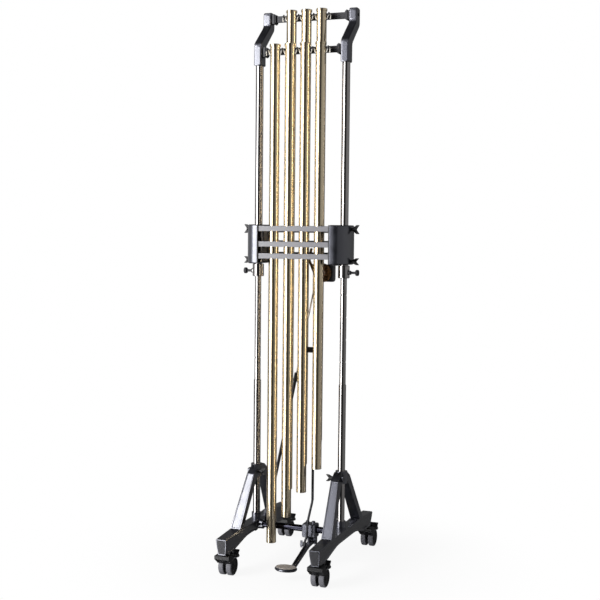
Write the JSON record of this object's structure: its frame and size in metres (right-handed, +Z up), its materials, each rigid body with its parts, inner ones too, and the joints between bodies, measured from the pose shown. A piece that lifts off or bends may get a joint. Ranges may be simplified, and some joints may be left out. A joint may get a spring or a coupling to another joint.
{
  "type": "tubular bells",
  "caption": "Tubular bells hung in two rows between tall posts on a rolling frame, with a damper unit worked by a pedal.",
  "frame": {"origin": "on the floor, at the middle of the bounding box", "axes": "+X to the player's right, +Y away from the player, +Z up"},
  "size_m": [0.4686, 0.702, 2.126],
  "materials": {
    "brass": "satin brass, lacquered",
    "chrome": "chromed steel tube",
    "black_casting": "semi-gloss black enamelled casting",
    "grey_bar": "grey painted steel bar with black felt",
    "black_steel": "black finished steel",
    "zinc": "bright zinc plated steel",
    "passivated": "golden-brown passivated steel",
    "moulding": "black moulded nylon",
    "tread": "grey wheel tread on a black hub",
    "cord": "pale braided cord"
  },
  "bodies": {
    "base": {"left_leg_frame": "black_casting", "left_foot_beam": "black_casting", "left_notched_post": "chrome", "right_leg_frame": "black_casting", "right_foot_beam": "black_casting", "right_notched_post": "chrome", "base_crossbar": "chrome", "pedal_clamp": "black_casting"},
    "upper_frame": {"left_upper_post": "chrome", "left_post_collar": "chrome", "left_top_bracket": "black_casting", "left_damper_housing": "black_casting", "right_upper_post": "chrome", "right_post_collar": "chrome", "right_top_bracket": "black_casting", "right_damper_housing": "black_casting", "front_rail": "black_steel", "rear_rail": "black_steel", "front_top_bar": "grey_bar", "front_bottom_bar": "grey_bar", "rear_top_bar": "black_steel", "rear_bottom_bar": "black_steel", "front_row_cord": "cord", "rear_row_cord": "cord", "crank_plate": "black_steel"},
    "left_index_plunger": {"left_index_plunger": "black_steel"},
    "left_upper_knob": {"left_upper_knob": "moulding"},
    "left_lower_knob": {"left_lower_knob": "moulding"},
    "left_leg_knob": {"left_leg_knob": "moulding"},
    "right_index_plunger": {"right_index_plunger": "black_steel"},
    "right_upper_knob": {"right_upper_knob": "moulding"},
    "right_lower_knob": {"right_lower_knob": "moulding"},
    "right_leg_knob": {"right_leg_knob": "moulding"},
    "bell_f": {"bell_f": "brass"},
    "bell_f_sharp": {"bell_f_sharp": "brass"},
    "bell_g": {"bell_g": "brass"},
    "bell_g_sharp": {"bell_g_sharp": "brass"},
    "bell_a": {"bell_a": "brass"},
    "bell_a_sharp": {"bell_a_sharp": "brass"},
    "bell_b": {"bell_b": "brass"},
    "pedal": {"pedal": "black_casting"},
    "lower_pull_rod": {"lower_pull_rod": "black_steel"},
    "upper_pull_rod": {"upper_pull_rod": "black_steel"},
    "damper_crank": {"damper_crank": "passivated"},
    "front_damper_bar": {"front_damper_bar": "grey_bar"},
    "rear_damper_bar": {"rear_damper_bar": "black_steel"},
    "stay_tube": {"stay_tube": "black_steel"},
    "stay_rod": {"stay_rod": "zinc"},
    "front_left_caster_hood": {"front_left_caster_hood": "moulding"},
    "front_left_caster_wheels": {"front_left_caster_wheels": "tread"},
    "front_left_brake_lever": {"front_left_brake_lever": "moulding"},
    "front_right_caster_hood": {"front_right_caster_hood": "moulding"},
    "front_right_caster_wheels": {"front_right_caster_wheels": "tread"},
    "front_right_brake_lever": {"front_right_brake_lever": "moulding"},
    "rear_left_caster_hood": {"rear_left_caster_hood": "moulding"},
    "rear_left_caster_wheels": {"rear_left_caster_wheels": "tread"},
    "rear_left_brake_lever": {"rear_left_brake_lever": "moulding"},
    "rear_right_caster_hood": {"rear_right_caster_hood": "moulding"},
    "rear_right_caster_wheels": {"rear_right_caster_wheels": "tread"},
    "rear_right_brake_lever": {"rear_right_brake_lever": "moulding"}
  },
  "joints": [
    {"name": "height_slide", "type": "slide", "parent": "base", "child": "upper_frame", "axis": [0, 0, 1], "range_m": [0, 0.169]},
    {"name": "left_plunger_pull", "type": "slide", "parent": "upper_frame", "child": "left_index_plunger", "axis": [-1, 0, 0], "range_m": [0, 0.007], "stiffness_N_per_m": 600, "springref_m": -0.004},
    {"name": "left_upper_knob_turn", "type": "hinge", "parent": "upper_frame", "child": "left_upper_knob", "pos_m": [-0.207, -0.04, 1.29], "axis": [1, 0, 0], "range_deg": [0, 360]},
    {"name": "left_lower_knob_turn", "type": "hinge", "parent": "upper_frame", "child": "left_lower_knob", "pos_m": [-0.207, -0.04, 1.17], "axis": [1, 0, 0], "range_deg": [0, 360]},
    {"name": "left_leg_knob_turn", "type": "hinge", "parent": "base", "child": "left_leg_knob", "pos_m": [-0.154, -0.071, 0.35], "axis": [1, 0, 0], "range_deg": [0, 360]},
    {"name": "right_plunger_pull", "type": "slide", "parent": "upper_frame", "child": "right_index_plunger", "axis": [1, 0, 0], "range_m": [0, 0.007], "stiffness_N_per_m": 600, "springref_m": -0.004},
    {"name": "right_upper_knob_turn", "type": "hinge", "parent": "upper_frame", "child": "right_upper_knob", "pos_m": [0.207, -0.04, 1.29], "axis": [1, 0, 0], "range_deg": [0, 360]},
    {"name": "right_lower_knob_turn", "type": "hinge", "parent": "upper_frame", "child": "right_lower_knob", "pos_m": [0.207, -0.04, 1.17], "axis": [1, 0, 0], "range_deg": [0, 360]},
    {"name": "right_leg_knob_turn", "type": "hinge", "parent": "base", "child": "right_leg_knob", "pos_m": [0.154, -0.071, 0.35], "axis": [1, 0, 0], "range_deg": [0, 360]},
    {"name": "bell_f_swing", "type": "hinge", "parent": "upper_frame", "child": "bell_f", "pos_m": [-0.0915, -0.089, 1.944], "axis": [1, 0, 0], "range_deg": [-0.3, 0.3]},
    {"name": "bell_f_sharp_swing", "type": "hinge", "parent": "upper_frame", "child": "bell_f_sharp", "pos_m": [-0.061, -0.001, 2.083], "axis": [-1, 0, 0], "range_deg": [-0.3, 0.3]},
    {"name": "bell_g_swing", "type": "hinge", "parent": "upper_frame", "child": "bell_g", "pos_m": [-0.0305, -0.089, 1.944], "axis": [1, 0, 0], "range_deg": [-0.3, 0.3]},
    {"name": "bell_g_sharp_swing", "type": "hinge", "parent": "upper_frame", "child": "bell_g_sharp", "pos_m": [0, -0.001, 2.083], "axis": [-1, 0, 0], "range_deg": [-0.3, 0.3]},
    {"name": "bell_a_swing", "type": "hinge", "parent": "upper_frame", "child": "bell_a", "pos_m": [0.0305, -0.089, 1.944], "axis": [1, 0, 0], "range_deg": [-0.3, 0.3]},
    {"name": "bell_a_sharp_swing", "type": "hinge", "parent": "upper_frame", "child": "bell_a_sharp", "pos_m": [0.061, -0.001, 2.083], "axis": [-1, 0, 0], "range_deg": [-0.3, 0.3]},
    {"name": "bell_b_swing", "type": "hinge", "parent": "upper_frame", "child": "bell_b", "pos_m": [0.0915, -0.089, 1.944], "axis": [1, 0, 0], "range_deg": [-0.3, 0.3]},
    {"name": "pedal_press", "type": "hinge", "parent": "base", "child": "pedal", "pos_m": [0.062, -0.045, 0.092], "axis": [-1, 0, 0], "range_deg": [0, 7.2]},
    {"name": "lower_rod_lift", "type": "slide", "parent": "base", "child": "lower_pull_rod", "axis": [0, 0, 1], "range_m": [0, 0.0057]},
    {"name": "upper_rod_lift", "type": "slide", "parent": "upper_frame", "child": "upper_pull_rod", "axis": [0, 0, 1], "range_m": [0, 0.0057]},
    {"name": "crank_turn", "type": "hinge", "parent": "upper_frame", "child": "damper_crank", "pos_m": [0.093, -0.049, 1.126], "axis": [0, 1, 0], "range_deg": [0, 11.7]},
    {"name": "front_bar_press", "type": "slide", "parent": "upper_frame", "child": "front_damper_bar", "axis": [0, 1, 0], "range_m": [0, 0.0055]},
    {"name": "rear_bar_press", "type": "slide", "parent": "upper_frame", "child": "rear_damper_bar", "axis": [0, -1, 0], "range_m": [0, 0.0055]},
    {"name": "stay_tilt", "type": "hinge", "parent": "base", "child": "stay_tube", "pos_m": [-0.129, -0.036, 0.175], "axis": [0, -1, 0], "range_deg": [0, 1.75]},
    {"name": "stay_stretch", "type": "slide", "parent": "stay_tube", "child": "stay_rod", "axis": [0.2026, 0, 0.9793], "range_m": [0, 0.1665]},
    {"name": "front_left_swivel", "type": "hinge", "parent": "base", "child": "front_left_caster_hood", "pos_m": [-0.183, -0.33, 0.098], "axis": [0, 0, 1], "continuous": true},
    {"name": "front_left_wheel_spin", "type": "hinge", "parent": "front_left_caster_hood", "child": "front_left_caster_wheels", "pos_m": [-0.183, -0.286, 0.03457], "axis": [1, 0, 0], "continuous": true},
    {"name": "front_left_brake_press", "type": "hinge", "parent": "front_left_caster_hood", "child": "front_left_brake_lever", "pos_m": [-0.183, -0.252, 0.064], "axis": [-1, 0, 0], "range_deg": [0, 12]},
    {"name": "front_right_swivel", "type": "hinge", "parent": "base", "child": "front_right_caster_hood", "pos_m": [0.183, -0.33, 0.098], "axis": [0, 0, 1], "continuous": true},
    {"name": "front_right_wheel_spin", "type": "hinge", "parent": "front_right_caster_hood", "child": "front_right_caster_wheels", "pos_m": [0.183, -0.286, 0.03457], "axis": [1, 0, 0], "continuous": true},
    {"name": "front_right_brake_press", "type": "hinge", "parent": "front_right_caster_hood", "child": "front_right_brake_lever", "pos_m": [0.183, -0.252, 0.064], "axis": [-1, 0, 0], "range_deg": [0, 12]},
    {"name": "rear_left_swivel", "type": "hinge", "parent": "base", "child": "rear_left_caster_hood", "pos_m": [-0.183, 0.25, 0.098], "axis": [0, 0, 1], "continuous": true},
    {"name": "rear_left_wheel_spin", "type": "hinge", "parent": "rear_left_caster_hood", "child": "rear_left_caster_wheels", "pos_m": [-0.183, 0.294, 0.03457], "axis": [1, 0, 0], "continuous": true},
    {"name": "rear_left_brake_press", "type": "hinge", "parent": "rear_left_caster_hood", "child": "rear_left_brake_lever", "pos_m": [-0.183, 0.328, 0.064], "axis": [-1, 0, 0], "range_deg": [0, 12]},
    {"name": "rear_right_swivel", "type": "hinge", "parent": "base", "child": "rear_right_caster_hood", "pos_m": [0.183, 0.25, 0.098], "axis": [0, 0, 1], "continuous": true},
    {"name": "rear_right_wheel_spin", "type": "hinge", "parent": "rear_right_caster_hood", "child": "rear_right_caster_wheels", "pos_m": [0.183, 0.294, 0.03457], "axis": [1, 0, 0], "continuous": true},
    {"name": "rear_right_brake_press", "type": "hinge", "parent": "rear_right_caster_hood", "child": "rear_right_brake_lever", "pos_m": [0.183, 0.328, 0.064], "axis": [-1, 0, 0], "range_deg": [0, 12]}
  ],
  "couplings": [
    {"joint": "lower_rod_lift", "follows": "pedal_press", "m_per_rad": 0.045},
    {"joint": "upper_rod_lift", "follows": "pedal_press", "m_per_rad": 0.045},
    {"joint": "crank_turn", "follows": "pedal_press", "ratio": 1.618},
    {"joint": "front_bar_press", "follows": "pedal_press", "m_per_rad": 0.0436},
    {"joint": "rear_bar_press", "follows": "pedal_press", "m_per_rad": 0.0436},
    {"joint": "stay_tilt", "follows": "height_slide", "rad_per_m": 0.1792},
    {"joint": "stay_stretch", "follows": "height_slide", "ratio": 0.9842}
  ]
}
